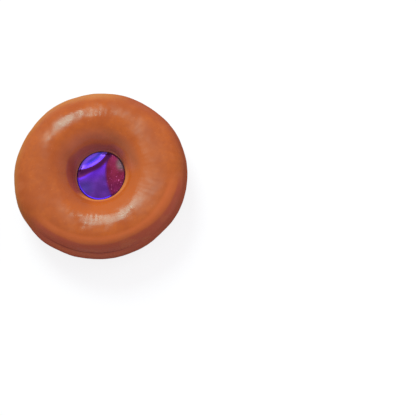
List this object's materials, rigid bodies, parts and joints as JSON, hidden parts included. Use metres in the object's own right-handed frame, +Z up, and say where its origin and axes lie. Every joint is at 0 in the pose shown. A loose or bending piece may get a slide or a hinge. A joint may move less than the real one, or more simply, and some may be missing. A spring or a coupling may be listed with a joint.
{
  "type": "ring doughnut",
  "caption": "Round ring doughnut of glazed fried dough, lying flat, with a thin disc of creased violet foil across the waist of its hole.",
  "frame": {"origin": "middle of the flat base that the doughnut stands on", "axes": "+Z up through the hole; -Y is the side nearest the eye in the picture; +X is to its right"},
  "size_m": [0.1002, 0.0998, 0.0345],
  "materials": {
    "glazed_crust": "golden brown fried crust under a thin clear sugar glaze, darker on the flank and inside the hole",
    "violet_foil": "shiny metallised foil shading from violet to crimson, softly creased"
  },
  "bodies": {
    "root": {"doughnut_ring": "glazed_crust", "foil_disc": "violet_foil"}
  },
  "joints": []
}
